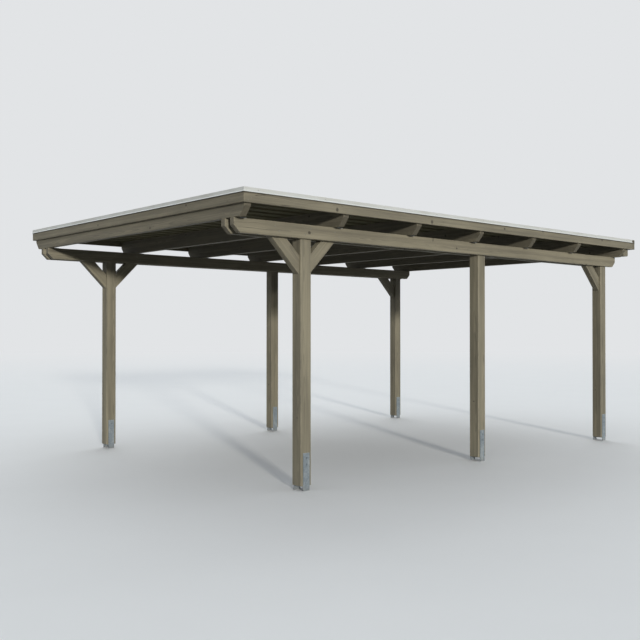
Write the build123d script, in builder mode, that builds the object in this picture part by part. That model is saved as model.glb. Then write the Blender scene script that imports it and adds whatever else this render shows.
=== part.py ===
"""Timber carport with a flat roof: six posts on steel anchors, twin-plank beams and seven rafters.

Millimetres, +Z up. The long side runs along Y and the drive-in front faces -Y.
The origin is on the ground, in the middle of the roof's outline.
"""

import os

from build123d import *

# Posts
post_size = 115.0
post_edge_chamfer = 5.0
row_spacing = 3425.0
front_post_spacing = 2405.0
rear_post_spacing = 2405.0
post_tongue = 70.0
tongue_clearance = 4.0

# Steel post anchors
anchor_strap_width = 70.0
anchor_strap_thickness = 6.0
anchor_strap_height = 320.0
anchor_web_thickness = 8.0
anchor_web_height = 36.0
anchor_clearance = 0.3

# Twin-plank beams
plank_thickness = 50.0
beam_height = 120.0
beam_underside = 2130.0
beam_front_reach = 772.0
beam_rear_reach = 233.0
beam_end_bevel = 60.0
plank_edge_chamfer = 4.0

# Knee braces
brace_leg = 298.0
brace_width = 113.0
brace_clearance = 0.3
brace_top_clearance = 4.0
brace_edge_chamfer = 4.0

# Rafters
rafter_thickness = 60.0
rafter_height = 150.0
rafter_end_bevel_length = 63.0
rafter_end_bevel_height = 77.0
rafter_bays = (1052.0, 940.0, 942.0, 915.0, 892.0)
rafter_edge_chamfer = 3.0

# Fascia boards
fascia_thickness = 28.0
fascia_height = 115.0
fascia_rise = 63.0
rear_board_thickness = 60.0
roof_side_reach = 254.0
fascia_edge_chamfer = 3.0

# Roof sheets
sheet_count = 4
ribs_per_sheet = 5
sheet_thickness = 1.0
rib_height = 35.0
rib_top_width = 40.0
rib_flank_width = 22.0
sheet_side_gap = 0.4
sheet_front_gap = 3.0
sheet_gutter_overhang = 45.0

# Metal edge trim
trim_thickness = 2.0
trim_drop = 35.0
trim_top_width = 58.0
trim_lip = 10.0

# Gutter
gutter_width = 111.0
gutter_depth = 130.0
gutter_wall = 2.0
gutter_corner_radius = 22.0
gutter_end_setback = 56.0
gutter_rim_gap = 8.0

# Places worked out from the sizes above
row_x = row_spacing / 2
beam_length = beam_front_reach + front_post_spacing + rear_post_spacing + beam_rear_reach
roof_length = fascia_thickness + beam_length + gutter_width + rear_board_thickness
roof_front = -roof_length / 2
roof_rear = roof_length / 2
beam_front = roof_front + fascia_thickness
beam_rear = beam_front + beam_length
rear_board_front = beam_rear + gutter_width
roof_half_width = row_x + roof_side_reach
roof_inner_half_width = roof_half_width - fascia_thickness

front_post_y = beam_front + beam_front_reach
middle_post_y = front_post_y + front_post_spacing
rear_post_y = middle_post_y + rear_post_spacing

post_bottom = anchor_web_height + anchor_web_thickness
beam_top = beam_underside + beam_height
rafter_top = beam_top + rafter_height
fascia_top = rafter_top + fascia_rise
plank_offset = post_tongue / 2

post_rows = {"right": row_x, "left": -row_x}
post_places = {"front": front_post_y, "middle": middle_post_y, "rear": rear_post_y}

os.makedirs("parts", exist_ok=True)


def save(piece, name):
    """Labels a finished piece and writes it to its own file."""
    piece.part.label = name
    export_step(piece.part, f"parts/{name}.step")


def make_post(x, y):
    """Square post, notched on both sides at the top so that a tongue stands between the planks."""
    with BuildPart() as post:
        with BuildSketch(Plane.XY.offset(post_bottom)) as section:
            with Locations((x, y)):
                Rectangle(post_size, post_size)
            chamfer(section.vertices(), post_edge_chamfer)
        extrude(amount=beam_underside - post_bottom)
        with BuildSketch(Plane.XY.offset(beam_underside)):
            with Locations((x, y)):
                Rectangle(post_tongue, post_size)
        extrude(amount=beam_height - tongue_clearance)
    return post


def make_anchor(x, y):
    """H-shaped anchor: two flat straps joined by the web plate that the post stands on."""
    strap_gap = post_size + 2 * anchor_clearance
    strap_centre = strap_gap / 2 + anchor_strap_thickness / 2
    with BuildPart() as anchor:
        with BuildSketch(Plane.XY):
            with Locations((x - strap_centre, y), (x + strap_centre, y)):
                Rectangle(anchor_strap_thickness, anchor_strap_width)
        extrude(amount=anchor_strap_height)
        with BuildSketch(Plane.XY.offset(anchor_web_height)):
            with Locations((x, y)):
                Rectangle(strap_gap, anchor_strap_width)
        extrude(amount=anchor_web_thickness)
    return anchor


def make_plank(x):
    """Beam plank with its lower corner cut off at both ends, its inner face at x."""
    with BuildPart() as plank:
        with BuildSketch(Plane.YZ.offset(x)):
            with BuildLine():
                Polyline(
                    (beam_front, beam_top),
                    (beam_front, beam_underside + beam_end_bevel),
                    (beam_front + beam_end_bevel, beam_underside),
                    (beam_rear - beam_end_bevel, beam_underside),
                    (beam_rear, beam_underside + beam_end_bevel),
                    (beam_rear, beam_top),
                    close=True,
                )
            make_face()
        extrude(amount=plank_thickness)
        chamfer(plank.edges().filter_by(Axis.Y), plank_edge_chamfer)
    return plank


def make_brace(x, post_y, direction):
    """Knee brace at 45 degrees from the post's face up between the two planks."""
    brace_top = beam_top - brace_top_clearance
    brace_foot = beam_underside - brace_leg
    face_y = post_y + direction * post_size / 2
    rise = brace_top - brace_foot
    vertical_width = brace_width * 2 ** 0.5
    thickness = post_tongue - 2 * brace_clearance
    with BuildPart() as brace:
        with BuildSketch(Plane.YZ.offset(x - thickness / 2)):
            with BuildLine():
                Polyline(
                    (face_y, brace_foot),
                    (face_y + direction * rise, brace_top),
                    (face_y + direction * (rise - vertical_width), brace_top),
                    (face_y, brace_foot + vertical_width),
                    close=True,
                )
            make_face()
        extrude(amount=thickness)
        slanted = brace.edges().filter_by(lambda edge: abs(edge.tangent_at(0.5).Y * edge.tangent_at(0.5).Z) > 0.4)
        chamfer(slanted, brace_edge_chamfer)
    return brace


def make_rafter(y):
    """Rafter across both beams, the lower half of its ends cut back."""
    top_reach = roof_inner_half_width
    bottom_reach = top_reach - rafter_end_bevel_length
    nose_bottom = beam_top + rafter_end_bevel_height
    with BuildPart() as rafter:
        with BuildSketch(Plane.XZ.offset(-y - rafter_thickness)):
            with BuildLine():
                Polyline(
                    (-bottom_reach, beam_top),
                    (bottom_reach, beam_top),
                    (top_reach, nose_bottom),
                    (top_reach, rafter_top),
                    (-top_reach, rafter_top),
                    (-top_reach, nose_bottom),
                    close=True,
                )
            make_face()
        extrude(amount=rafter_thickness)
        lower_edges = rafter.edges().filter_by(Axis.X).group_by(Axis.Z)[0]
        chamfer(lower_edges, rafter_edge_chamfer)
    return rafter


def make_side_fascia(side):
    """Side board, mitred at the front and square against the rear board."""
    outer_x = side * roof_half_width
    inner_x = side * roof_inner_half_width
    with BuildPart() as board:
        with BuildSketch(Plane.XY.offset(fascia_top - fascia_height)):
            with BuildLine():
                Polyline(
                    (outer_x, roof_front),
                    (outer_x, rear_board_front),
                    (inner_x, rear_board_front),
                    (inner_x, roof_front + fascia_thickness),
                    close=True,
                )
            make_face()
        extrude(amount=fascia_height)
        outer_edges = board.edges().filter_by(Axis.Y).group_by(Axis.X)[0 if side < 0 else -1]
        chamfer(outer_edges.sort_by(Axis.Z)[0], fascia_edge_chamfer)
    return board


def make_side_trim(side):
    """Folded metal edge along one side, mitred at the front."""
    with BuildPart() as trim:
        with BuildSketch(Plane.XZ.offset(-rear_board_front)):
            add(trim_section(side * roof_half_width, side))
        extrude(amount=rear_board_front - roof_front + trim_thickness + trim_lip)
        split(bisect_by=front_mitre(side), keep=Keep.TOP)
    return trim


def trim_section(face, side):
    """Section of the edge trim, at the board's outer face, as a closed sketch."""
    outer = face + side * trim_thickness
    top = fascia_top + trim_thickness
    bottom = fascia_top - trim_drop
    with BuildSketch(mode=Mode.PRIVATE) as section:
        with BuildLine():
            Polyline(
                (outer, top),
                (face - side * trim_top_width, top),
                (face - side * trim_top_width, fascia_top),
                (face, fascia_top),
                (face, bottom + trim_lip),
                (face + side * trim_lip, bottom),
                (outer + side * trim_lip, bottom),
                (outer, bottom + trim_lip),
                close=True,
            )
        make_face()
    return section.sketch


def front_mitre(side):
    """Plane through a front corner at 45 degrees, its positive side towards the side board."""
    corner = (side * roof_half_width, roof_front, 0)
    return Plane(origin=corner, z_dir=(side, 1, 0))


def make_front_trim():
    """Folded metal edge along the front, mitred at both corners."""
    with BuildPart() as trim:
        with BuildSketch(Plane.YZ.offset(-roof_half_width - trim_thickness - trim_lip)):
            add(trim_section(roof_front, -1))
        extrude(amount=2 * (roof_half_width + trim_thickness + trim_lip))
        split(bisect_by=front_mitre(1), keep=Keep.BOTTOM)
        split(bisect_by=front_mitre(-1), keep=Keep.BOTTOM)
    return trim


# Posts and their anchors
for row, x in post_rows.items():
    for place, y in post_places.items():
        save(make_post(x, y), f"post_{place}_{row}")
        save(make_anchor(x, y), f"post_anchor_{place}_{row}")

# Beams: two planks clasp the tongues of each row's posts
for row, x in post_rows.items():
    low_side, high_side = ("inner", "outer") if x > 0 else ("outer", "inner")
    save(make_plank(x - plank_offset - plank_thickness), f"beam_{low_side}_{row}")
    save(make_plank(x + plank_offset), f"beam_{high_side}_{row}")

# Knee braces, both ways at the front posts and forwards only at the rear posts
for row, x in post_rows.items():
    save(make_brace(x, front_post_y, -1), f"brace_front_{row}_forward")
    save(make_brace(x, front_post_y, 1), f"brace_front_{row}_back")
    save(make_brace(x, rear_post_y, -1), f"brace_rear_{row}_forward")

# Rafters: the first and last flush with the beam ends
rafter_places = [beam_front + sum(rafter_bays[:index]) for index in range(len(rafter_bays) + 1)]
rafter_places.append(beam_rear - rafter_thickness)
for number, y in enumerate(rafter_places, start=1):
    save(make_rafter(y), f"rafter_{number}")

# Fascia boards
with BuildPart() as fascia_front:
    with BuildSketch(Plane.XY.offset(fascia_top - fascia_height)):
        with BuildLine():
            Polyline(
                (-roof_half_width, roof_front),
                (roof_half_width, roof_front),
                (roof_inner_half_width, roof_front + fascia_thickness),
                (-roof_inner_half_width, roof_front + fascia_thickness),
                close=True,
            )
        make_face()
    extrude(amount=fascia_height)
    front_edges = fascia_front.edges().filter_by(Axis.X).group_by(Axis.Y)[0]
    chamfer(front_edges.sort_by(Axis.Z)[0], fascia_edge_chamfer)
save(fascia_front, "fascia_front")

for side, name in ((1, "fascia_right"), (-1, "fascia_left")):
    save(make_side_fascia(side), name)

with BuildPart() as fascia_rear:
    with BuildSketch(Plane.XY.offset(fascia_top - fascia_height)):
        with Locations((0, rear_board_front + rear_board_thickness / 2)):
            Rectangle(2 * roof_half_width, rear_board_thickness)
    extrude(amount=fascia_height)
    rear_edges = fascia_rear.edges().filter_by(Axis.X).group_by(Axis.Y)[-1]
    chamfer(rear_edges.sort_by(Axis.Z)[0], fascia_edge_chamfer)
save(fascia_rear, "fascia_rear")

# Roof sheets with ribs from front to rear, on top of the rafters
sheet_width = (2 * roof_inner_half_width - (sheet_count + 1) * sheet_side_gap) / sheet_count
sheet_front = beam_front + sheet_front_gap
sheet_rear = beam_rear + sheet_gutter_overhang
rib_pitch = sheet_width / ribs_per_sheet
rib_base_width = rib_top_width + 2 * rib_flank_width


def rib_line(left, lift):
    """Points of a sheet's lower or upper surface, one rib after another."""
    points = [(left, rafter_top + lift)]
    for index in range(ribs_per_sheet):
        centre = left + (index + 0.5) * rib_pitch
        points += [
            (centre - rib_base_width / 2, rafter_top + lift),
            (centre - rib_top_width / 2, rafter_top + rib_height + lift),
            (centre + rib_top_width / 2, rafter_top + rib_height + lift),
            (centre + rib_base_width / 2, rafter_top + lift),
        ]
    points += [(left + sheet_width, rafter_top + lift)]
    return points


for number in range(1, sheet_count + 1):
    left = -roof_inner_half_width + sheet_side_gap + (number - 1) * (sheet_width + sheet_side_gap)
    with BuildPart() as roof_sheet:
        with BuildSketch(Plane.XZ.offset(-sheet_rear)):
            with BuildLine():
                Polyline(*rib_line(left, 0), *reversed(rib_line(left, sheet_thickness)), close=True)
            make_face()
        extrude(amount=sheet_rear - sheet_front)
    save(roof_sheet, f"roof_sheet_{number}")

# Edge trim over the boards
for side, name in ((1, "edge_trim_right"), (-1, "edge_trim_left")):
    save(make_side_trim(side), name)
save(make_front_trim(), "edge_trim_front")

with BuildPart() as edge_trim_rear:
    with BuildSketch(Plane.YZ.offset(-roof_half_width)):
        add(trim_section(roof_rear, 1))
    extrude(amount=2 * roof_half_width)
save(edge_trim_rear, "edge_trim_rear")

# Box gutter between the last rafter and the rear board
gutter_top = rafter_top - gutter_rim_gap
gutter_half_length = roof_half_width - gutter_end_setback
with BuildPart() as gutter:
    with BuildSketch(Plane.YZ.offset(-gutter_half_length)) as trough:
        with Locations((beam_rear + gutter_width / 2, gutter_top - gutter_depth / 2)):
            Rectangle(gutter_width, gutter_depth)
        fillet(trough.vertices().group_by(Axis.Y)[0], gutter_corner_radius)
    extrude(amount=2 * gutter_half_length)
    offset(amount=-gutter_wall, openings=gutter.faces().sort_by(Axis.Z)[-1])
save(gutter, "gutter")
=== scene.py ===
"""Finishes, fixings and studio for a flat-roofed timber carport.

Metres, +Z up, the drive-in front towards -Y and the right-hand post row at +X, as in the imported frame.
Timber, metal, fixings and stage each have their own settings and operators in the sidebar panel.
"""

import math
from functools import partial, reduce

import bmesh
import bpy
from mathutils import Euler, Matrix, Vector


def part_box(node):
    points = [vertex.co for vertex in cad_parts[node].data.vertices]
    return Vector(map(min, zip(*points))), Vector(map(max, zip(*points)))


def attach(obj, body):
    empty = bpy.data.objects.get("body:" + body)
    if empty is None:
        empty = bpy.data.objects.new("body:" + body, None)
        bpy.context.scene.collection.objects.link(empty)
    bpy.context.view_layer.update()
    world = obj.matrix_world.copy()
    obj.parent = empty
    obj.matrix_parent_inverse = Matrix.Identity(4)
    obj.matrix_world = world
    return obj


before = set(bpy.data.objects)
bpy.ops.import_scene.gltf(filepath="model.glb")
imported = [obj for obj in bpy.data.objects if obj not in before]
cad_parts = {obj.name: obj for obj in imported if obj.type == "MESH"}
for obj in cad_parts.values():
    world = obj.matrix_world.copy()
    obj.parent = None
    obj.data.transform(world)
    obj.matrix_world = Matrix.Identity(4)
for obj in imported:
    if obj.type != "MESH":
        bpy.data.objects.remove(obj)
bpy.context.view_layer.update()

bl_info = {
    "name": "Timber Carport",
    "version": (1, 1, 0),
    "blender": (4, 5, 0),
    "location": "3D View > Sidebar > Carport",
    "description": "Stained timber, metal, fixings and studio of a flat-roofed carport",
    "category": "Object",
}

BODY = "root"

X, Y, Z = range(3)
UP = Vector((0, 0, 1))
DOWN = -UP
DAYLIGHT = (0.87, 0.93, 1.0)


def numbered(start):
    """Names of the CAD nodes that differ by their number alone, in order."""
    total = sum(node.startswith(start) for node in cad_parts)
    return [f"{start}{number + 1}" for number in range(total)]


# Rows by their side of the carport, braces by the way they lean, trim by the axis and way it faces
ROWS = {"right": 1, "left": -1}
POST_PLACES = ("front", "middle", "rear")
POSTS = [f"{place}_{row}" for row in ROWS for place in POST_PLACES]
PLANK_SIDES = ("outer", "inner")
BRACES = {"front_{}_forward": -1, "front_{}_back": 1, "rear_{}_forward": -1}
TRIM_EDGES = {"front": (Y, -1), "rear": (Y, 1), "right": (X, 1), "left": (X, -1)}
RAFTERS = numbered("rafter_")
SHEETS = numbered("roof_sheet_")

GRAIN_UP = (0.0, 0.0, 0.0)
GRAIN_ALONG_Y = (math.radians(-90), 0.0, 0.0)
GRAIN_ALONG_X = (0.0, math.radians(90), 0.0)
GRAIN_LEAN_FORWARD = (math.radians(45), 0.0, 0.0)
GRAIN_LEAN_BACK = (math.radians(-45), 0.0, 0.0)

# Knots that can be made out on the real boards, each with its place and its radius
KNOTS_SEEN = {
    "fascia_right": (
        (1.9665, -2.028, 2.376, 0.011), (1.9665, -0.812, 2.373, 0.012), (1.9665, 0.325, 2.397, 0.010),
        (1.9665, 1.016, 2.424, 0.010), (1.9665, 2.241, 2.412, 0.012),
    ),
    "fascia_front": ((1.155, -3.007, 2.405, 0.009), (-0.42, -3.007, 2.381, 0.008)),
    "beam_outer_right": ((1.7975, -2.193, 2.183, 0.012), (1.7975, -0.241, 2.172, 0.009)),
    "rafter_1": ((0.521, -2.979, 2.274, 0.010), (-1.025, -2.979, 2.372, 0.011)),
}


def screen_colour(red, green, blue):
    """Linear colour of a colour given as it looks on screen, 0 to 255."""
    shares = (red / 255, green / 255, blue / 255)
    return tuple(((share + 0.055) / 1.055) ** 2.4 if share > 0.04045 else share / 12.92 for share in shares)


def shade(colour, share):
    """A colour darkened to a share of itself."""
    return tuple(share * part for part in colour)


def colour_setting(name, description, red, green, blue):
    """A colour that the user can change."""
    return bpy.props.FloatVectorProperty(
        name=name, description=description, default=screen_colour(red, green, blue),
        subtype="COLOR", size=3, min=0.0, max=1.0,
    )


def number_setting(name, description, default, least=0.0, **kind):
    """A number that the user can change, from a least value upwards."""
    return bpy.props.FloatProperty(name=name, description=description, default=default, min=least, **kind)


length_setting = partial(number_setting, precision=4, unit="LENGTH")
share_setting = partial(number_setting, max=1.0, subtype="FACTOR")
angle_setting = partial(number_setting, unit="ROTATION")


class CarportTimberSettings(bpy.types.PropertyGroup):
    """Colours and grain of the stained timber."""

    stain: colour_setting("Stain", "Main tone of the grey-brown stain", 149, 143, 123)
    stain_deep: colour_setting("Deep Stain", "Tone where the stain has soaked in, as in streaks", 99, 95, 82)
    worn: colour_setting("Worn Edge", "Paler timber where an edge has rubbed", 176, 169, 147)
    knot: colour_setting("Knot", "Tone of the knots", 58, 53, 44)
    end_grain: colour_setting("End Grain", "Tone of sawn ends, which drink the stain", 86, 81, 68)
    splash: colour_setting("Splash Dirt", "Dust and splashes low on the posts", 122, 118, 108)
    ring_width: length_setting("Ring Width", "Width of one year's growth", 0.0042)
    heart_wander: length_setting("Heart Wander", "How far the heart strays along the timber", 0.05)
    knot_radius: length_setting("Knot Radius", "Radius of a usual knot", 0.011)
    knot_spacing: length_setting("Knot Spacing", "Distance between knots along the timber", 0.42)
    knot_share: share_setting("Knot Share", "Share of the possible knots that are there", 0.34)
    wear_reach: length_setting("Wear Reach", "How far the rubbed band reaches from an edge", 0.005)
    splash_height: length_setting("Splash Height", "Height that splash dirt reaches on the posts", 0.30)
    relief: length_setting("Relief", "Depth of the grain relief", 0.0009)


class CarportMetalSettings(bpy.types.PropertyGroup):
    """Colours of the metal pieces."""

    zinc_pale: colour_setting("Pale Zinc", "Bright crystals of the galvanised steel", 144, 154, 161)
    zinc_deep: colour_setting("Deep Zinc", "Dull crystals of the galvanised steel", 113, 124, 132)
    bolt_zinc: colour_setting("Bolt Zinc", "Plated bolts and screws", 150, 150, 140)
    trim: colour_setting("Trim", "Pale coated aluminium of the roof edge", 214, 218, 217)
    trim_grime: colour_setting("Trim Grime", "Dust on the roof edge", 174, 173, 163)
    sheet: colour_setting("Sheet", "Upper side of the roof sheets", 166, 170, 170)
    sheet_back: colour_setting("Sheet Back", "Backing coat under the roof sheets", 130, 127, 104)
    sheet_grime: colour_setting("Sheet Grime", "Dust washed into the pans of the sheets", 124, 122, 110)
    gutter: colour_setting("Gutter", "Coated gutter", 124, 119, 101)
    rubber: colour_setting("Rubber", "Sealing washers under the roof screws", 46, 46, 45)
    spangle: length_setting("Spangle", "Size of the zinc crystals", 0.011)


class CarportFixingSettings(bpy.types.PropertyGroup):
    """Sizes of the bolts, screws, brackets and hangers."""

    anchor_bolt: length_setting("Anchor Bolt", "Diameter of the coach screws in the post anchors", 0.008)
    timber_screw: length_setting("Timber Screw", "Head diameter of the screws in beams and braces", 0.012)
    board_screw: length_setting("Board Screw", "Head diameter of the screws in the boards", 0.009)
    trim_screw: length_setting("Trim Screw", "Head diameter of the screws in the edge trim", 0.008)
    sheet_washer: length_setting("Sheet Washer", "Diameter of the roof screws' sealing washers", 0.016)
    bracket_leg: length_setting("Bracket Leg", "Leg of the angle brackets at the rafters", 0.070)
    bracket_width: length_setting("Bracket Width", "Width of the angle brackets", 0.044)
    bracket_sheet: length_setting("Bracket Sheet", "Thickness of the angle brackets' steel", 0.0025)
    bracket_screw: length_setting("Bracket Screw", "Head diameter of the screws in brackets", 0.009)
    hanger_width: length_setting("Hanger Width", "Width of the straps across the gutter", 0.025)
    outlet: length_setting("Outlet", "Diameter of the gutter's outlet", 0.062)


class CarportStageSettings(bpy.types.PropertyGroup):
    """Floor, light and camera."""

    floor: colour_setting("Floor", "Pale studio floor", 232, 232, 230)
    floor_glow: colour_setting("Floor Glow", "Light that the floor throws back up", 86, 84, 79)
    backdrop: colour_setting("Backdrop", "Pale background that the camera sees", 226, 228, 230)
    low_sky: number_setting("Low Sky", "Strength of the even light from the sides", 0.06)
    high_sky: number_setting("High Sky", "Strength of the even light from straight above", 0.76)
    key_light: number_setting("Key Light", "Strength of the light from the right", 2.62)
    key_softness: angle_setting("Key Softness", "Angle that the key light spans", math.radians(4))
    fill_light: number_setting("Fill Light", "Strength of the light on the far sides", 1.5)
    fill_softness: angle_setting("Fill Softness", "Angle that the fill light spans", math.radians(70))
    lens: number_setting("Lens", "Focal length in millimetres", 47.51, least=1.0, unit="CAMERA")


class Formula:
    """A shader value that Python's operators turn into Math nodes."""

    def __init__(self, finish, socket):
        self.finish = finish
        self.socket = socket

    def __add__(self, other):
        return self.finish.maths("ADD", self, other)

    def __sub__(self, other):
        return self.finish.maths("SUBTRACT", self, other)

    def __rsub__(self, other):
        return self.finish.maths("SUBTRACT", other, self)

    def __mul__(self, other):
        return self.finish.maths("MULTIPLY", self, other)

    def __truediv__(self, other):
        return self.finish.maths("DIVIDE", self, other)

    def __pow__(self, other):
        return self.finish.maths("POWER", self, other)

    def __abs__(self):
        return self.finish.maths("ABSOLUTE", self)

    __radd__ = __add__
    __rmul__ = __mul__


class Finish:
    """The nodes of a material or of the world, and the calls that add them."""

    def __init__(self, owner, metallic=0.0, roughness=0.6):
        self.owner = owner
        self.owner.use_nodes = True
        self.tree = self.owner.node_tree
        self.shader = self.tree.nodes.get("Principled BSDF")
        if self.shader:
            self.shader.inputs["Metallic"].default_value = metallic
            self.shader.inputs["Roughness"].default_value = roughness

    @classmethod
    def material(cls, name, metallic=0.0, roughness=0.6):
        """A new material."""
        return cls(bpy.data.materials.new(name), metallic, roughness)

    def node(self, kind, settings=None, sockets=None):
        """Adds a node of a kind, sets it, and then fills its sockets with values or links."""
        made = self.tree.nodes.new(kind)
        for name, value in (settings or {}).items():
            setattr(made, name, value)
        for key, value in (sockets or {}).items():
            self.fill(made.inputs[key], value)
        return made

    def fill(self, socket, value):
        """Links a formula to a socket, or writes a plain value there."""
        if isinstance(value, Formula):
            self.tree.links.new(value.socket, socket)
        else:
            socket.default_value = value

    def output(self, made, key=0):
        """A node's output as a formula."""
        return Formula(self, made.outputs[key])

    def maths(self, operation, *values):
        """One Math node."""
        return self.output(self.node("ShaderNodeMath", {"operation": operation}, dict(enumerate(values))))

    def vectors(self, operation, *values, key=0):
        """One Vector Math node."""
        made = self.node("ShaderNodeVectorMath", {"operation": operation}, dict(enumerate(values)))
        return self.output(made, key)

    def place(self, centre=(0, 0, 0), turn=(0, 0, 0)):
        """Place on the piece, from its centre and along its own axes."""
        coordinates = self.node("ShaderNodeTexCoord")
        sockets = {"Vector": self.output(coordinates, "Object"), "Location": centre, "Rotation": turn}
        return self.output(self.node("ShaderNodeMapping", {"vector_type": "TEXTURE"}, sockets))

    def facing(self, direction):
        """How squarely the surface faces a direction, from -1 to 1."""
        coordinates = self.node("ShaderNodeTexCoord")
        return self.vectors("DOT_PRODUCT", self.output(coordinates, "Normal"), direction, key="Value")

    def parts(self, vector):
        """The three components of a vector."""
        made = self.node("ShaderNodeSeparateXYZ", None, {0: vector})
        return [self.output(made, key) for key in range(3)]

    def join(self, x, y, z):
        """A vector from three values."""
        return self.output(self.node("ShaderNodeCombineXYZ", None, {0: x, 1: y, 2: z}))

    def noise(self, vector, lumps, shift=(0, 0, 0), detail=2.0, roughness=0.5):
        """Cloudy noise from 0 to 1, with so many lumps to the metre, or so many each way."""
        each_way = lumps if isinstance(lumps, tuple) else (lumps,) * 3
        spread = self.vectors("MULTIPLY_ADD", vector, each_way, shift)
        sockets = {"Vector": spread, "Scale": 1.0, "Detail": detail, "Roughness": roughness}
        return self.output(self.node("ShaderNodeTexNoise", None, sockets))

    def step(self, value, low, high, start=0.0, end=1.0):
        """Smooth step from start to end, as the value goes from low to high."""
        sockets = {"Value": value, "From Min": low, "From Max": high, "To Min": start, "To Max": end}
        return self.output(self.node("ShaderNodeMapRange", {"interpolation_type": "SMOOTHSTEP"}, sockets))

    def blend(self, share, first, second):
        """Colour that goes from the first to the second as the share goes from 0 to 1."""
        sockets = {0: share, 6: opaque(first), 7: opaque(second)}
        return self.output(self.node("ShaderNodeMix", {"data_type": "RGBA"}, sockets), 2)

    def least(self, values):
        """The smallest of several values."""
        return reduce(partial(self.maths, "MINIMUM"), values)

    def most(self, values):
        """The largest of several values."""
        return reduce(partial(self.maths, "MAXIMUM"), values)

    def ray(self, *kinds):
        """1 where the light path is a ray of one of these kinds, and 0 elsewhere."""
        path = self.node("ShaderNodeLightPath")
        return self.most([self.output(path, f"Is {kind} Ray") for kind in kinds])

    def edge_gap(self, vector, half):
        """Distance to the nearest edge of a box with these half sizes, anywhere on its faces."""
        gaps = [float(size) - abs(part) for size, part in zip(half, self.parts(vector))]
        return gaps[0] + gaps[1] + gaps[2] - self.least(gaps) - self.most(gaps)

    def relief(self, height, depth, strength):
        """Raises and lowers the surface in the shading, by a height of 0 to 1 times the depth."""
        made = self.node("ShaderNodeBump", None, {"Strength": strength, "Distance": depth, "Height": height})
        self.tree.links.new(made.outputs[0], self.shader.inputs["Normal"])

    def use(self, colour, roughness=None, metallic=None):
        """Sends the results to the shader, and gives the material."""
        for name, value in (("Base Color", colour), ("Roughness", roughness), ("Metallic", metallic)):
            if value is not None:
                self.fill(self.shader.inputs[name], value)
        return self.owner

    def show(self, share, first, second, output):
        """Shows the first shader, or the second where the share is 1."""
        mix = self.node("ShaderNodeMixShader", None, {0: share})
        self.tree.links.new(first.outputs[0], mix.inputs[1])
        self.tree.links.new(second.outputs[0], mix.inputs[2])
        self.tree.links.new(mix.outputs[0], self.tree.nodes[output].inputs["Surface"])


def opaque(colour):
    """A colour with full alpha, unless it is a formula."""
    return colour if isinstance(colour, Formula) else (*colour, 1.0)


def own_box(node, turn):
    """Centre and half sizes of a CAD node along its own turned axes."""
    axes = Euler(turn).to_matrix()
    corners = [axes.transposed() @ vertex.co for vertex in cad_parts[node].data.vertices]
    low = Vector([min(values) for values in zip(*corners)])
    high = Vector([max(values) for values in zip(*corners)])
    return axes @ ((low + high) / 2), (high - low) / 2


def dress(node, material):
    """Gives a CAD node its finish."""
    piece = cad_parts[node]
    piece.data.materials.clear()
    piece.data.materials.append(material)


def knot_fields(wood, place, centre, turn, heart, across, upward, radius, z, seen):
    """Distance from the nearest knot in metres, and as a share of that knot's radius."""
    timber = bpy.context.scene.carport_timber
    ragged = (wood.noise(place, 60, detail=1) - 0.5) * 0.008

    # Knots stand at random round the heart and along it, and widen outwards
    knot_cell = 0.11
    knots_round = 0.75
    out_of_reach = 20
    cells = wood.join(across / radius * knots_round, upward / radius * knots_round, z / timber.knot_spacing)
    knots = wood.node("ShaderNodeTexVoronoi", None, {"Vector": cells, "Scale": 1.0, "Randomness": 0.85})
    away = wood.vectors("SUBTRACT", cells, wood.output(knots, "Position"))
    metres = wood.vectors("MULTIPLY", away, (knot_cell, knot_cell, timber.knot_spacing * 0.8))
    gap = wood.vectors("LENGTH", metres, key="Value") + ragged
    pick, size, _ = wood.parts(wood.output(knots, "Color"))
    share = timber.knot_share * (0.35 if seen else 1.0)
    missing = wood.step(pick, 1 - share, 1.02 - share, 1.0, 0.0)
    ratios = [gap / ((0.5 + size * 0.9) * timber.knot_radius) + missing * out_of_reach]
    gaps = [gap + missing]

    # Each knot that can be made out is a rod from the heart through its place on the face
    axes = Euler(turn).to_matrix().transposed()
    for x, y, height, knot_radius in seen:
        spot = axes @ (Vector((x, y, height)) - centre)
        rod = Vector((spot.x - heart.x, spot.y - heart.y, 0)).normalized()
        offset = wood.vectors("SUBTRACT", place, spot)
        off_rod = wood.vectors("SUBTRACT", offset, wood.vectors("PROJECT", offset, rod))
        oval = wood.vectors("MULTIPLY", off_rod, (1, 1, 0.75))
        seen_gap = wood.vectors("LENGTH", oval, key="Value") + ragged * 0.5
        gaps.append(seen_gap)
        ratios.append(seen_gap / knot_radius)
    return wood.least(gaps), wood.least(ratios)


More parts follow.
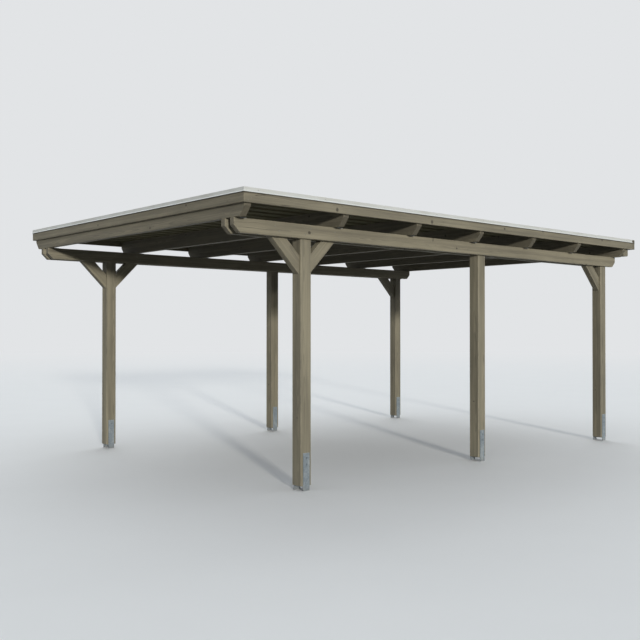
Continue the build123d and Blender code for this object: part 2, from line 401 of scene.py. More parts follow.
def timber_finish(name, centre, half, turn, heart, tone, splashed, seen):
    """Stained softwood with growth rings about a wandering heart, knots, drying checks and rubbed edges."""
    timber = bpy.context.scene.carport_timber
    wood = Finish.material(name)
    place = wood.place(centre, turn)
    x, y, z = wood.parts(place)
    seed = heart.to_3d()

    sway = wood.noise(place, (3, 3, 0.9), seed * 40, detail=1)
    drift = wood.noise(place, (3, 3, 0.9), seed * 40 + Vector((9, 4, 7)), detail=1)
    across = x - heart.x + (sway - 0.5) * timber.heart_wander
    upward = y - heart.y + (drift - 0.5) * timber.heart_wander
    radius = (across * across + upward * upward) ** 0.5
    gap, ratio = knot_fields(wood, place, centre, turn, heart, across, upward, radius, z, seen)
    inside = wood.step(ratio, 0.72, 1.0, 1.0, 0.0)
    rim = wood.step(ratio, 1.0, 1.5, 1.0, 0.0)
    swirl = wood.step(ratio, 0.6, 4.2, 1.0, 0.0)

    # Late wood is the hard dark line at the end of each year's ring
    wobble = wood.noise(place, (22, 22, 3), detail=2)
    ring = wood.maths("FRACT", radius / timber.ring_width + swirl * 2.6 + wobble * 1.6)
    late = wood.step(ring, 0.35, 0.86) * wood.step(ring, 0.93, 1.0, 1.0, 0.0)
    knot_rings_per_metre = 420
    knot_ring = wood.maths("FRACT", gap * knot_rings_per_metre)

    fibre = wood.noise(place, (420, 420, 9), detail=3, roughness=0.6)
    streak = wood.noise(place, (30, 30, 0.8), seed * 90, detail=3, roughness=0.62)
    cloud = wood.noise(place, (5, 5, 1.6), seed * 70, detail=3)

    # Drying checks are fine dark cracks along the grain, here and there
    crack_field = wood.noise(place, (13, 13, 0.55), seed * 50, detail=2, roughness=0.45)
    crack_zone = wood.step(wood.noise(place, (3, 3, 1.3), (5, 2, 8), detail=1), 0.54, 0.62)
    crack = wood.step(abs(crack_field - 0.5), 0.0018, 0.0045, 1.0, 0.0) * crack_zone

    depth = 0.56 + tone + (streak - 0.5) * 1.3 + (fibre - 0.5) * 0.55 + (cloud - 0.5) * 0.7 - late * 0.22
    colour = wood.blend(wood.step(depth, -0.1, 1.1), timber.stain_deep, timber.stain)
    colour = wood.blend(rim * 0.5, colour, timber.stain_deep)
    colour = wood.blend(inside * (0.72 + knot_ring * 0.2), colour, timber.knot)
    axis = Euler(turn).to_matrix() @ UP
    sawn = wood.step(abs(wood.facing(axis)), 0.35, 0.8)
    colour = wood.blend(sawn * (0.5 + late * 0.35), colour, timber.end_grain)
    colour = wood.blend(crack * 0.8, colour, timber.knot)

    rub = wood.noise(place, (55, 55, 14), detail=3, roughness=0.65)
    edge = wood.edge_gap(place, half) + (rub - 0.5) * 0.006
    worn = wood.step(edge, timber.wear_reach * 0.45, timber.wear_reach, 1.0, 0.0) * wood.step(rub, 0.42, 0.6)
    colour = wood.blend(worn * 0.5, colour, timber.worn)
    _, _, height = wood.parts(wood.place())
    if name.startswith("timber_fascia"):
        # Painted shadow: a dark line on the board just under the drip edge of the trim, standing in for the
        # shade under its lip
        drip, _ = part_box("edge_trim_front")
        ragged = (rub - 0.5) * 0.006
        painted_shadow_line = wood.step(height + ragged, drip.z - 0.013, drip.z - 0.005)
        colour = wood.blend(painted_shadow_line * 0.55, colour, timber.knot)
    if splashed:
        low = height + (cloud - 0.5) * 0.25
        speckle = wood.noise(place, (120, 120, 60), detail=3, roughness=0.7)
        splash = wood.step(low, 0.02, timber.splash_height, 1.0, 0.0) * wood.step(speckle, 0.36, 0.62)
        colour = wood.blend(splash * 0.45, colour, timber.splash)

    wood.relief(fibre * 0.4 - late * 0.28 + inside * 0.35 - crack * 1.6 + streak * 0.3, timber.relief, 0.8)
    return wood.use(colour, 0.58 + fibre * 0.22 + worn * 0.08)


def zinc_finish(name):
    """Galvanised steel: flat crystals of different greys, dull blooms, a dusty foot, and a painted highlight
    on faces that look up.
    """
    metal = bpy.context.scene.carport_metal
    zinc = Finish.material(name)
    place = zinc.place()
    crystals = zinc.vectors("MULTIPLY", place, (1 / metal.spangle,) * 3)
    jitter = [zinc.noise(place, 150, (shift, 0, 0)) for shift in range(3)]
    shaken = zinc.vectors("ADD", crystals, zinc.join(*jitter))
    cells = zinc.node("ShaderNodeTexVoronoi", None, {"Vector": shaken, "Scale": 1.0})
    grey, shine, _ = zinc.parts(zinc.output(cells, "Color"))
    bloom = zinc.step(zinc.noise(place, (14, 14, 9), detail=4, roughness=0.65), 0.48, 0.66)
    runs = zinc.noise(place, (90, 90, 3), (4, 1, 6), detail=3)
    _, _, height = zinc.parts(place)
    foot = zinc.step(height + zinc.noise(place, (40, 40, 30)) * 0.04, 0.02, 0.075, 1.0, 0.0)
    colour = zinc.blend(grey * 0.7 + runs * 0.3, metal.zinc_deep, metal.zinc_pale)
    colour = zinc.blend(bloom * 0.4, colour, screen_colour(174, 181, 182))
    colour = zinc.blend(foot * 0.35, colour, screen_colour(118, 116, 108))
    # Painted highlight: faces that look up are lightened, standing in for sky light on the top edges
    painted_top_highlight = zinc.step(zinc.facing(UP), 0.6, 0.9)
    colour = zinc.blend(painted_top_highlight * 0.8, colour, screen_colour(216, 221, 223))
    zinc.relief(grey * 0.5 + bloom * 0.3, 0.0004, 0.4)
    return zinc.use(colour, 0.38 + shine * 0.14 + bloom * 0.14 + foot * 0.15, 0.3 - bloom * 0.1 - foot * 0.2)


def bolt_finish(name, colour, metallic=0.7):
    """Plated or painted bolts and screws, duller in blotches."""
    bolt = Finish.material(name, metallic=metallic)
    place = bolt.place()
    blotch = bolt.noise(place, 90, detail=4, roughness=0.6)
    scuff = bolt.noise(place, 600, detail=2)
    bolt.relief(scuff, 0.0002, 0.4)
    colour = bolt.blend(bolt.step(blotch, 0.35, 0.65), shade(colour, 0.55), colour)
    return bolt.use(colour, 0.36 + blotch * 0.2)


def rubber_finish(name):
    """Matt sealing rubber with a grey bloom."""
    metal = bpy.context.scene.carport_metal
    rubber = Finish.material(name)
    place = rubber.place()
    bloom = rubber.noise(place, 240, detail=3, roughness=0.6)
    rubber.relief(bloom, 0.0002, 0.4)
    colour = rubber.blend(rubber.step(bloom, 0.35, 0.7), metal.rubber, screen_colour(84, 83, 80))
    return rubber.use(colour, 0.7 + bloom * 0.2)


def trim_finish(name):
    """Pale coated aluminium, greyer on the plate above its lip, with dust specks and soft blotches."""
    metal = bpy.context.scene.carport_metal
    trim = Finish.material(name, metallic=0.25)
    place = trim.place()
    dust = trim.noise(place, 3, (3, 1, 4), detail=5, roughness=0.55)
    specks = trim.noise(place, 240, detail=2)
    _, _, height = trim.parts(place)
    drip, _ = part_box("edge_trim_front")
    # The upright plate above the sloped lip is greyer than the lip, more so in blotches
    plate = trim.step(height, drip.z + 0.009, drip.z + 0.013)
    up = trim.step(trim.facing(UP), 0.8, 0.95)
    patches = trim.step(dust, 0.42, 0.68)
    grime = trim.step(specks, 0.6, 0.72) * 0.12 + plate * (0.28 + patches * 0.22) + up * patches * 0.2
    trim.relief(trim.noise(place, 260, detail=3), 0.0002, 0.3)
    return trim.use(trim.blend(grime, metal.trim, metal.trim_grime), 0.36 + dust * 0.14 + grime * 0.2)


def sheet_finish(name):
    """Ribbed roof sheet: bare metal on top with washed dust in its pans, and a dark coated back with faint
    painted shade inside its ribs.
    """
    metal = bpy.context.scene.carport_metal
    sheet = Finish.material(name)
    sheet.shader.inputs["Specular IOR Level"].default_value = 0.12
    place = sheet.place()
    _, _, height = sheet.parts(place)
    runs = sheet.noise(place, (60, 1.4, 60), detail=4, roughness=0.6)
    pools = sheet.noise(place, (9, 2.4, 9), (2, 8, 1), detail=4, roughness=0.6)
    grains = sheet.noise(place, 500, detail=2)
    top = sheet.step(sheet.facing(UP), 0.0, 0.3)
    low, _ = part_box(SHEETS[0])
    pan = sheet.step(height, low.z + 0.004, low.z + 0.020, 1.0, 0.0)
    painted_rib_shade = sheet.step(height, low.z + 0.002, low.z + 0.012)
    grime = pan * sheet.step(pools, 0.38, 0.72) * 0.45 + sheet.step(runs, 0.42, 0.7) * 0.3
    weathered = sheet.blend(grime, metal.sheet, metal.sheet_grime)
    back = sheet.blend(sheet.step(pools, 0.3, 0.7), shade(metal.sheet_back, 0.82), metal.sheet_back)
    # Painted shade: the back is darkened slightly inside the raised ribs
    back = sheet.blend(painted_rib_shade * 0.04, back, shade(metal.sheet_back, 0.3))
    sheet.relief(grains * 0.4 + pools * 0.6, 0.0004, 0.4)
    return sheet.use(sheet.blend(top, back, weathered), 0.85 - top * 0.4 + grime * 0.2, top * 0.55)


def gutter_finish(name):
    """Coated gutter with dried water marks and a silty floor."""
    metal = bpy.context.scene.carport_metal
    gutter = Finish.material(name, metallic=0.15)
    place = gutter.place()
    _, _, height = gutter.parts(place)
    marks = gutter.noise(place, (6, 40, 40), detail=4, roughness=0.6)
    silt = gutter.noise(place, 20, detail=4, roughness=0.7)
    low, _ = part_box("gutter")
    floor = gutter.step(height, low.z + 0.004, low.z + 0.02, 1.0, 0.0)
    floor = floor * gutter.step(gutter.facing(UP), 0.3, 0.9)
    colour = gutter.blend(gutter.step(marks, 0.35, 0.7) * 0.5, metal.gutter, shade(metal.gutter, 0.6))
    colour = gutter.blend(floor * gutter.step(silt, 0.35, 0.55), colour, screen_colour(72, 63, 49))
    gutter.relief(silt * 0.5 + marks * 0.2, 0.0004, 0.4)
    return gutter.use(colour, 0.42 + silt * 0.2 + floor * 0.2)


class CARPORT_OT_finish_timber(bpy.types.Operator):
    """Gives each post, plank, brace, rafter and board its own stained timber"""

    bl_idname = "carport.finish_timber"
    bl_label = "Finish Timber"

    def execute(self, context):
        # Each timber, the way its grain runs, and where its heart lies across it
        timbers = []
        for row in ROWS:
            timbers += [(f"post_{place}_{row}", GRAIN_UP, (0.012, -0.017)) for place in POST_PLACES]
            timbers += [(f"beam_{side}_{row}", GRAIN_ALONG_Y, (0.06, 0.022)) for side in PLANK_SIDES]
            for brace, way in BRACES.items():
                turn = GRAIN_LEAN_BACK if way > 0 else GRAIN_LEAN_FORWARD
                timbers.append((f"brace_{brace.format(row)}", turn, (0.05, 0.03)))
        timbers += [(rafter, GRAIN_ALONG_X, (0.03, 0.07)) for rafter in RAFTERS]
        timbers.append(("fascia_front", GRAIN_ALONG_X, (0.02, 0.075)))
        timbers.append(("fascia_rear", GRAIN_ALONG_X, (0.02, 0.085)))
        timbers += [(f"fascia_{row}", GRAIN_ALONG_Y, (0.075, 0.02)) for row in ROWS]

        for index, (node, turn, heart) in enumerate(timbers):
            centre, half = own_box(node, turn)
            flip = Vector((math.copysign(1, math.sin(index * 2.1)), math.copysign(1, math.cos(index * 3.7))))
            own_heart = Vector(heart) * flip * (1 + 0.3 * math.sin(index * 1.7))
            tone = 0.09 * math.sin(index * 2.399) - (0.28 if node in RAFTERS else 0.0)
            seen = KNOTS_SEEN.get(node, ())
            splashed = node.startswith("post_")
            dress(node, timber_finish(f"timber_{node}", centre, half, turn, own_heart, tone, splashed, seen))
        return {"FINISHED"}


class CARPORT_OT_finish_metal(bpy.types.Operator):
    """Gives the anchors, the edge trim, the roof sheets and the gutter their metal"""

    bl_idname = "carport.finish_metal"
    bl_label = "Finish Metal"

    def execute(self, context):
        zinc = zinc_finish("galvanised_steel")
        for post in POSTS:
            dress(f"post_anchor_{post}", zinc)
        trim = trim_finish("edge_trim_coat")
        for edge in TRIM_EDGES:
            dress(f"edge_trim_{edge}", trim)
        sheet = sheet_finish("roof_sheet_metal")
        for node in SHEETS:
            dress(node, sheet)
        dress("gutter", gutter_finish("gutter_coat"))
        return {"FINISHED"}


def begin(add, **settings):
    """Adds a primitive with nothing else selected, puts its place in its mesh, and gives it."""
    bpy.ops.object.select_all(action="DESELECT")
    add(**settings)
    bpy.ops.object.transform_apply(location=True, rotation=True, scale=True)
    return bpy.context.object


def box_of(low, high):
    """A box between two corners, as a start for shaping."""
    low, high = Vector(low), Vector(high)
    return begin(bpy.ops.mesh.primitive_cube_add, size=1.0, location=(low + high) / 2, scale=high - low)


def bar_of(radius, low, high, sides, centre=(0, 0, 0)):
    """An upright bar between two heights over a centre, as a start for shaping."""
    middle = Vector(centre) + Vector((0, 0, (low + high) / 2))
    add = bpy.ops.mesh.primitive_cylinder_add
    return begin(add, vertices=sides, radius=radius, depth=high - low, location=middle)


def pick(piece, kind, test):
    """Enters edit mode with just those corners, edges or faces selected that pass a test."""
    bpy.ops.object.mode_set(mode="EDIT")
    bpy.ops.mesh.select_mode(type=kind)
    bpy.ops.mesh.select_all(action="DESELECT")
    mesh = bmesh.from_edit_mesh(piece.data)
    for element in {"VERT": mesh.verts, "EDGE": mesh.edges, "FACE": mesh.faces}[kind]:
        if test(element):
            element.select_set(True)
    mesh.select_flush_mode()
    bmesh.update_edit_mesh(piece.data)


def pick_faces(piece, direction, squarely=0.99, near=lambda middle: True):
    """Selects the faces that look squarely enough in a direction, where their middle passes a test."""
    pick(
        piece, "FACE",
        lambda face: face.normal.dot(direction) > squarely and near(face.calc_center_median()),
    )


def cut_all(piece, place, normal):
    """Cuts every face of a piece along a plane."""
    pick(piece, "FACE", lambda face: True)
    bpy.ops.mesh.bisect(plane_co=place, plane_no=normal)


def pull(rise):
    """Extrudes what is selected upwards."""
    bpy.ops.mesh.extrude_region_move(TRANSFORM_OT_translate={"value": (0, 0, rise)})


def round_off(offset, segments=1, affect="EDGES"):
    """Bevels what is selected."""
    bpy.ops.mesh.bevel(offset=offset, segments=segments, affect=affect)


def centre_of(edge):
    """Middle of an edge."""
    return (edge.verts[0].co + edge.verts[1].co) / 2


def along(edge, axis):
    """Whether an edge runs along an axis."""
    run = edge.verts[1].co - edge.verts[0].co
    return abs(run[axis]) > 0.9 * run.length


def finished(piece, material, smooth=35):
    """Leaves edit mode, smooths the round faces, and gives the piece its material."""
    bpy.ops.object.mode_set(mode="OBJECT")
    bpy.ops.object.select_all(action="DESELECT")
    piece.select_set(True)
    bpy.ops.object.shade_smooth_by_angle(angle=math.radians(smooth))
    piece.data.materials.clear()
    piece.data.materials.append(material)
    return piece


def merged(pieces):
    """Joins several pieces into the first."""
    bpy.ops.object.select_all(action="DESELECT")
    for piece in pieces:
        piece.select_set(True)
    bpy.context.view_layer.objects.active = pieces[0]
    bpy.ops.object.join()
    return bpy.context.object


def copy_at(model, spot, direction=UP, spin=0.0):
    """A copy of a model with its own mesh, its +Z turned to a direction, at a place."""
    copy = model.copy()
    copy.data = model.data.copy()
    bpy.context.collection.objects.link(copy)
    turn = UP.rotation_difference(Vector(direction)).to_matrix().to_4x4()
    copy.data.transform(Matrix.Translation(spot) @ turn @ Matrix.Rotation(spin, 4, "Z"))
    return copy


def keep(piece, name):
    """Names a finished piece, and says what it rides on."""
    piece.name = name
    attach(piece, BODY)


def fit(name, model, spots):
    """One named piece from copies of a model, each at its spot, facing and spin."""
    keep(merged([copy_at(model, *spot) for spot in spots]), name)


def drop(*models):
    """Deletes the models that copies were made from."""
    for model in models:
        bpy.data.objects.remove(model)


def rows_of(low, high, margin, spacing):
    """Places at about a spacing between two ends, from a margin inside each."""
    start = low + margin
    end = high - margin
    bays = max(1, round((end - start) / spacing))
    return [start + (end - start) * bay / bays for bay in range(bays + 1)]


def middle_of(node, axis):
    """Middle of a CAD node's box along an axis."""
    low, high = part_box(node)
    return (low[axis] + high[axis]) / 2


def end_of(node, axis, way):
    """Where a CAD node ends along an axis, on the high side or the low one."""
    low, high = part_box(node)
    return (high if way > 0 else low)[axis]


def staggered(y, z, step):
    """Two places a step before and after a middle, one lower and one higher."""
    run, rise = step
    return [(y - run, z - rise), (y + run, z + rise)]


def screw_head(radius, proud, sunk, material):
    """Flat screw head on +Z with a rounded rim and a six-lobed socket, let in below the surface."""
    sides = 12
    rim = min(proud * 0.8, radius * 0.2)
    socket = radius * 0.46
    head = bar_of(radius, -sunk, proud, sides)
    pick_faces(head, UP, 0.9)
    round_off(rim)
    pick_faces(head, UP)
    bpy.ops.mesh.inset(thickness=radius - rim - socket)
    lobe = math.tau / sides

    def between_lobes(corner):
        inside = corner.co.xy.length < socket * 1.1
        return inside and round(math.atan2(corner.co.y, corner.co.x) / lobe) % 2 == 0

    pick(head, "VERT", between_lobes)
    bpy.ops.transform.resize(value=(0.66, 0.66, 1.0), center_override=(0, 0, 0))
    pick_faces(head, UP, near=lambda middle: middle.xy.length < socket * 0.2)
    pull(-(proud + sunk) * 0.6)
    return finished(head, material)


def plated_screw(name, size, proud, sunk):
    """Flush screw head of a size, in a plated finish of its own."""
    return screw_head(size / 2, proud, sunk, bolt_finish(name, bpy.context.scene.carport_metal.bolt_zinc))


def hexagon_head(across, height, base, material):
    """Six-sided screw head on +Z with cut corners, standing on a base height."""
    head = bar_of(across / math.sqrt(3), base, base + height, 6)
    pick(head, "VERT", lambda corner: corner.co.z > base + height / 2)
    round_off(across * 0.09, affect="VERTICES")
    pick_faces(head, UP)
    bpy.ops.mesh.inset(thickness=across * 0.16)
    bpy.ops.transform.translate(value=(0, 0, -height * 0.08))
    return finished(head, material, smooth=20)


def washer(radius, thickness, material, sides):
    """Round washer on +Z with a rounded rim."""
    disc = bar_of(radius, 0, thickness, sides)
    pick_faces(disc, UP, 0.9)
    round_off(thickness * 0.4)
    return finished(disc, material)


class CARPORT_OT_add_anchor_screws(bpy.types.Operator):
    """Adds the coach screws through the straps of the post anchors"""

    bl_idname = "carport.add_anchor_screws"
    bl_label = "Add Anchor Screws"

    def execute(self, context):
        bolt = context.scene.carport_fixings.anchor_bolt
        plated = bolt_finish("plated_coach_screw", context.scene.carport_metal.zinc_pale)
        disc = washer(bolt, bolt * 0.2, plated, sides=20)
        model = merged([disc, hexagon_head(bolt * 1.6, bolt * 0.66, bolt * 0.2, plated)])
        heights = (0.222, 0.279)
        for post in POSTS:
            anchor = f"post_anchor_{post}"
            y = middle_of(anchor, Y)
            spots = []
            for height in heights:
                for way, spin in ((1, height * 9), (-1, height * 17)):
                    spots.append(((end_of(anchor, X, way), y, height), (way, 0, 0), spin))
            fit(f"anchor_screws_{post}", model, spots)
        drop(model)
        return {"FINISHED"}


class CARPORT_OT_add_timber_screws(bpy.types.Operator):
    """Adds the flush screws through the planks into posts and braces, and at the braces' feet"""

    bl_idname = "carport.add_timber_screws"
    bl_label = "Add Timber Screws"

    def execute(self, context):
        size = context.scene.carport_fixings.timber_screw
        model = plated_screw("plated_timber_screw", size, proud=0.0007, sunk=0.004)
        post_step = (0.030, 0.027)
        brace_step = (0.022, -0.018)
        head_share = 0.33
        foot_screws = ((0.052, 0.4), (0.094, 1.3))
        for row, side in ROWS.items():
            beam_middle = middle_of(f"beam_outer_{row}", Z)
            spots = []
            joints = []
            for place in POST_PLACES:
                joints += staggered(middle_of(f"post_{place}_{row}", Y), beam_middle, post_step)
            for brace, way in BRACES.items():
                node = f"brace_{brace.format(row)}"
                far = end_of(node, Y, way)
                near = end_of(node, Y, -way)
                joints += staggered(far + (near - far) * head_share, beam_middle, brace_step)
                # Two screws on the slanting underside, near the foot
                slant = Vector((0, way, -1)).normalized()
                rise = Vector((0, way, 1)).normalized()
                foot = Vector((middle_of(node, X), near, end_of(node, Z, -1)))
                spots += [(foot + rise * reach, slant, spin) for reach, spin in foot_screws]
            outer_x = end_of(f"beam_outer_{row}", X, side)
            inner_x = end_of(f"beam_inner_{row}", X, -side)
            for y, z in joints:
                spots.append(((outer_x, y, z), (side, 0, 0), y * 5))
                spots.append(((inner_x, y, z), (-side, 0, 0), y * 7))
            fit(f"timber_screws_{row}", model, spots)
        drop(model)
        return {"FINISHED"}


class CARPORT_OT_add_board_screws(bpy.types.Operator):
    """Adds the small screws that hold the boards round the roof"""

    bl_idname = "carport.add_board_screws"
    bl_label = "Add Board Screws"

    def execute(self, context):
        size = context.scene.carport_fixings.board_screw
        model = plated_screw("plated_board_screw", size, proud=0.0005, sunk=0.003)
        step = (0.014, 0.009)
        low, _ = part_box("fascia_front")
        rafter_low, rafter_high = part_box(RAFTERS[0])
        middle = (low.z + rafter_high.z) / 2
        front = []
        for index, x in enumerate(rows_of(rafter_low.x, rafter_high.x, margin=0.03, spacing=0.62)):
            front.append(((x, low.y, middle + step[1] * (-1) ** index), (0, -1, 0), x * 4))
        fit("board_screws_front", model, front)
        for row, side in ROWS.items():
            face = end_of(f"fascia_{row}", X, side)
            spots = []
            for rafter in RAFTERS:
                centre = middle_of(rafter, Y)
                for (y, z), turns in zip(staggered(centre, middle, step), (3, 5)):
                    spots.append(((face, y, z), (side, 0, 0), centre * turns))
            fit(f"board_screws_{row}", model, spots)

        # The rear board is screwed into the ends of the side boards
        low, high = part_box("fascia_rear")
        rear = []
        for row in ROWS:
            x = middle_of(f"fascia_{row}", X)
            rear += [((x, high.y, low.z + rise), (0, 1, 0), x + rise * 40) for rise in (0.018, 0.060)]
        fit("board_screws_rear", model, rear)
        drop(model)
        return {"FINISHED"}


class CARPORT_OT_add_brackets(bpy.types.Operator):
    """Adds the angle brackets behind the rafters, on top of the planks"""

    bl_idname = "carport.add_brackets"
    bl_label = "Add Brackets"

    def execute(self, context):
        fixings = context.scene.carport_fixings
        leg, sheet = fixings.bracket_leg, fixings.bracket_sheet
        half = fixings.bracket_width / 2
        zinc = zinc_finish("bracket_steel")

        # One leg lies along +Y, and the other stands up from it
        angle = box_of((-half, 0, 0), (half, leg, sheet))
        cut_all(angle, (0, sheet, 0), (0, 1, 0))
        pick_faces(angle, UP, 0.9, lambda middle: middle.y < sheet)
        pull(leg - sheet)
        pick(angle, "EDGE", lambda edge: along(edge, X) and centre_of(edge).yz.length < sheet * 0.1)
        round_off(sheet * 0.95, 3)

        def at_tip(edge):
            middle = centre_of(edge)
            lying = along(edge, Z) and middle.y > leg * 0.99
            standing = along(edge, Y) and middle.z > leg * 0.99
            return abs(middle.x) > half * 0.99 and (lying or standing)

        pick(angle, "EDGE", at_tip)
        round_off(half * 0.35, 4)
        finished(angle, zinc, smooth=25)

        # The pressed rib across the bend is a wedge with rounded flanks
        rib_size = leg * 0.30
        rib_half = half * 0.2
        rib_start = sheet * 0.6
        rib = box_of((-rib_half, rib_start, rib_start), (rib_half, rib_size, rib_size))
        pick(rib, "EDGE", lambda edge: along(edge, X) and min(centre_of(edge).yz) > rib_size * 0.9)
        round_off((rib_size - rib_start) * 0.98)
        pick(rib, "FACE", lambda face: min(face.normal.yz) > 0.5)
        round_off(half * 0.12, 2)
        finished(rib, zinc)

        # Three screws in each leg, placed by shares of the half width and of the leg
        dome = plated_screw("bracket_screw", fixings.bracket_screw, proud=0.0022, sunk=0.0005)
        studs = []
        for x, reach in ((-0.55, 0.50), (0.55, 0.50), (0.0, 0.80)):
            studs.append(copy_at(dome, (x * half, reach * leg, sheet), UP, x))
            studs.append(copy_at(dome, (-x * half, sheet, reach * leg), (0, 1, 0), x))
        model = merged([angle, rib, *studs])
        for row in ROWS:
            spots = []
            for rafter in RAFTERS[:-1]:
                rear = end_of(rafter, Y, 1)
                for side in PLANK_SIDES:
                    plank = f"beam_{side}_{row}"
                    spots.append(((middle_of(plank, X), rear, end_of(plank, Z, 1)),))
            fit(f"rafter_brackets_{row}", model, spots)
        drop(model, dome)
        return {"FINISHED"}


def rib_centres(node):
    """Middle of each raised rib of a roof sheet, and the ribs' height."""
    corners = [vertex.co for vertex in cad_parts[node].data.vertices]
    top = max(corner.z for corner in corners)
    edges = sorted({round(corner.x, 4) for corner in corners if corner.z > top - 0.0002})
    return [(first + second) / 2 for first, second in zip(edges[0::2], edges[1::2])], top


class CARPORT_OT_add_roof_screws(bpy.types.Operator):
    """Adds the roof screws with their sealing washers, on the ribs over each rafter"""

    bl_idname = "carport.add_roof_screws"
    bl_label = "Add Roof Screws"

    def execute(self, context):
        radius = context.scene.carport_fixings.sheet_washer / 2
        steel = bolt_finish("plated_roof_screw", context.scene.carport_metal.bolt_zinc)
        disc_height = 0.0010
        disc_base = 0.0018
        rubber = rubber_finish("sealing_rubber")
        seal = washer(radius * 0.94, thickness=0.0022, material=rubber, sides=12)
        disc = washer(radius, disc_height, steel, sides=12)
        plate = copy_at(disc, (0, 0, disc_base))
        drop(disc)
        model = merged([seal, plate, hexagon_head(radius, radius * 0.55, disc_base + disc_height, steel)])
        clear = radius * 1.5
        front = end_of("edge_trim_front", Y, 1) + clear
        reach = end_of("edge_trim_right", X, -1) - clear
        for number, node in enumerate(SHEETS, 1):
            ribs, top = rib_centres(node)
            spots = []
            for rafter in RAFTERS:
                y = max(middle_of(rafter, Y), front)
                spots += [((x, y, top), UP, x * 9 + y) for x in ribs if abs(x) < reach]
            fit(f"roof_screws_{number}", model, spots)
        drop(model)
        return {"FINISHED"}


class CARPORT_OT_add_trim_screws(bpy.types.Operator):
    """Adds the small painted screws in the roof's edge trim"""

    bl_idname = "carport.add_trim_screws"
    bl_label = "Add Trim Screws"

    def execute(self, context):
        radius = context.scene.carport_fixings.trim_screw / 2
        painted = bolt_finish("painted_trim_screw", shade(context.scene.carport_metal.trim, 0.8), 0.2)
        model = screw_head(radius, proud=0.0016, sunk=0.001, material=painted)
        lip = 0.010
        below_top = 0.017
        for edge, (axis, way) in TRIM_EDGES.items():
            trim = f"edge_trim_{edge}"
            low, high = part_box(trim)
            run = 1 - axis
            facing = Vector((0, 0, 0))
            facing[axis] = way
            spots = []
            for place in rows_of(low[run], high[run], margin=0.15, spacing=0.75):
                spot = Vector((0, 0, high.z - below_top))
                spot[axis] = end_of(trim, axis, way) - way * lip
                spot[run] = place
                spots.append((spot, facing, place * 4))
            fit(f"trim_screws_{edge}", model, spots)
        drop(model)
        return {"FINISHED"}


class CARPORT_OT_add_gutter_fittings(bpy.types.Operator):
    """Adds the straps across the gutter and the outlet under its far end"""

    bl_idname = "carport.add_gutter_fittings"
    bl_label = "Add Gutter Fittings"

    def execute(self, context):
        fixings = context.scene.carport_fixings
        low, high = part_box("gutter")
        coat = bpy.data.materials["gutter_coat"]

        # A strap lies on both rims, and its rear end is turned up against the rear board
        half = fixings.hanger_width / 2
        strap = 0.002
        tab = 0.035
        bend = high.y - strap
        hanger = box_of((-half, low.y, high.z), (half, high.y, high.z + strap))
        cut_all(hanger, (0, bend, 0), (0, 1, 0))
        pick_faces(hanger, UP, 0.9, lambda middle: middle.y > bend)
        pull(tab)
        pick(hanger, "EDGE", lambda edge: along(edge, Y) and centre_of(edge).z > high.z + tab * 0.9)
        round_off(half * 0.5, 3)
        finished(hanger, coat, smooth=25)
        stud = plated_screw("hanger_screw", fixings.bracket_screw, proud=0.002, sunk=0.0005)
        model = merged([hanger, copy_at(stud, (0, bend, high.z + tab * 0.66), (0, -1, 0), 0.3)])
        drop(stud)
        spots = [((x, 0, 0),) for x in rows_of(low.x, high.x, margin=0.12, spacing=0.61)]
        fit("gutter_hangers", model, spots)
        drop(model)

        # The outlet is a short open spout under a flange
        radius = fixings.outlet / 2
        flange = 0.003
        rim = 0.001
        wall = 0.002
        depth = 0.045
        from_end = 0.19
        middle = Vector((low.x + from_end, (low.y + high.y) / 2, low.z))
        spout = bar_of(radius * 1.35, -flange, 0, 32, middle)
        pick_faces(spout, DOWN, 0.9)
        round_off(rim)
        pick_faces(spout, DOWN)
        bpy.ops.mesh.inset(thickness=radius * 0.35 - rim)
        pull(-depth)
        bpy.ops.transform.resize(value=(0.94, 0.94, 1.0), center_override=middle)
        bpy.ops.mesh.inset(thickness=wall)
        pull(depth - wall)
        finished(spout, coat)
        keep(spout, "gutter_outlet")
        return {"FINISHED"}


def floor_finish():
    """Pale studio floor that fades into the backdrop far from the object."""
    stage = bpy.context.scene.carport_stage
    floor = Finish.material("studio_floor", roughness=0.9)
    place = floor.place()
    distance = floor.vectors("LENGTH", place, key="Value")
    faint = floor.noise(place, 1.5, detail=3)
    seen = floor.ray("Camera", "Glossy")
    pale = floor.blend(faint, shade(stage.floor, 0.97), stage.floor)
    floor.use(floor.blend(seen, stage.floor_glow, pale))
    far = floor.step(distance, 9.0, 40.0) * seen
    glow = floor.node("ShaderNodeEmission", None, {"Color": opaque(stage.backdrop), "Strength": 1.0})
    floor.show(far, floor.shader, glow, "Material Output")
    return floor.owner


def studio_world():
    """Even light that grows towards the zenith, and the pale backdrop for camera, mirror and glass rays."""
    stage = bpy.context.scene.carport_stage
    sky = Finish(bpy.data.worlds.new("studio"))
    direction = sky.output(sky.node("ShaderNodeTexCoord"), "Generated")
    _, _, rise = sky.parts(direction)
    strength = sky.step(rise, 0.0, 0.9, stage.low_sky, stage.high_sky)
    even = sky.tree.nodes["Background"]
    sky.fill(even.inputs["Color"], opaque(DAYLIGHT))
    sky.fill(even.inputs["Strength"], strength)
    shown = sky.node("ShaderNodeBackground", None, {"Color": opaque(stage.backdrop)})
    sky.show(sky.ray("Camera", "Transmission", "Glossy"), even, shown, "World Output")
    return sky.owner


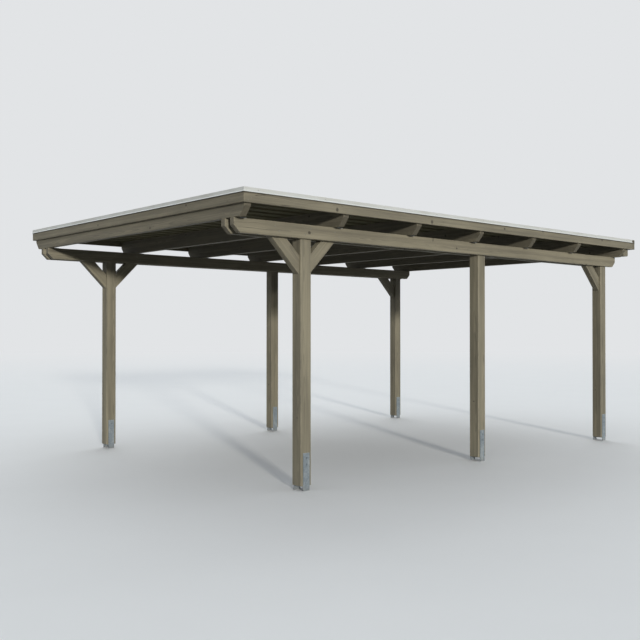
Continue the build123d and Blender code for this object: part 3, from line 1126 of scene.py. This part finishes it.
class CARPORT_OT_add_stage(bpy.types.Operator):
    """Adds the floor, the light and the camera at the photograph's viewing angle"""

    bl_idname = "carport.add_stage"
    bl_label = "Add Stage"

    def execute(self, context):
        stage = context.scene.carport_stage
        floor = begin(bpy.ops.mesh.primitive_circle_add, vertices=96, radius=90.0, fill_type="NGON")
        floor.name = "floor"
        floor.data.materials.append(floor_finish())

        context.scene.world = studio_world()

        # Each light with its strength, softness, colour and direction
        lights = (
            ("key_light", stage.key_light, stage.key_softness, (1.0, 0.96, 0.89), (-0.90, 0.42, -0.148)),
            ("fill_light", stage.fill_light, stage.fill_softness, (0.90, 0.95, 1.0), (0.75, -0.55, -0.42)),
        )
        for name, strength, softness, colour, direction in lights:
            bpy.ops.object.light_add(type="SUN", location=Vector(direction) * -9.0)
            light = context.object
            light.name = name
            light.data.energy = strength
            light.data.angle = softness
            light.data.color = colour
            light.rotation_euler = Vector(direction).to_track_quat("-Z", "Y").to_euler()

        # The camera looks a touch above the level
        place = (7.188, -6.880, 1.378)
        turn = math.radians(48.2746)
        pitch = math.radians(90) + math.radians(0.529)
        bpy.ops.object.camera_add(location=place, rotation=(pitch, 0.0, turn))
        camera = context.object
        camera.name = "camera"
        camera.data.sensor_width = 36.0
        camera.data.lens = stage.lens
        camera.data.clip_end = 400.0
        context.scene.camera = camera
        context.scene.view_settings.view_transform = "Standard"
        return {"FINISHED"}


class CARPORT_PT_tools(bpy.types.Panel):
    """Lists the carport's operators"""

    bl_idname = "CARPORT_PT_tools"
    bl_label = "Carport"
    bl_space_type = "VIEW_3D"
    bl_region_type = "UI"
    bl_category = "Carport"

    def draw(self, context):
        for operator in OPERATORS:
            self.layout.operator(operator.bl_idname)


SETTINGS = {
    "carport_timber": CarportTimberSettings,
    "carport_metal": CarportMetalSettings,
    "carport_fixings": CarportFixingSettings,
    "carport_stage": CarportStageSettings,
}
OPERATORS = (
    CARPORT_OT_finish_timber,
    CARPORT_OT_finish_metal,
    CARPORT_OT_add_anchor_screws,
    CARPORT_OT_add_timber_screws,
    CARPORT_OT_add_board_screws,
    CARPORT_OT_add_brackets,
    CARPORT_OT_add_roof_screws,
    CARPORT_OT_add_trim_screws,
    CARPORT_OT_add_gutter_fittings,
    CARPORT_OT_add_stage,
)


def register():
    for cls in (*SETTINGS.values(), *OPERATORS, CARPORT_PT_tools):
        bpy.utils.register_class(cls)
    for name, settings in SETTINGS.items():
        setattr(bpy.types.Scene, name, bpy.props.PointerProperty(type=settings))


def unregister():
    for name in SETTINGS:
        delattr(bpy.types.Scene, name)
    for cls in (CARPORT_PT_tools, *reversed(OPERATORS), *reversed(SETTINGS.values())):
        bpy.utils.unregister_class(cls)


def main():
    """Dresses the carport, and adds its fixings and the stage."""
    register()
    for operator in OPERATORS:
        group, name = operator.bl_idname.split(".")
        getattr(getattr(bpy.ops, group), name)()


if __name__ == "__main__":
    main()
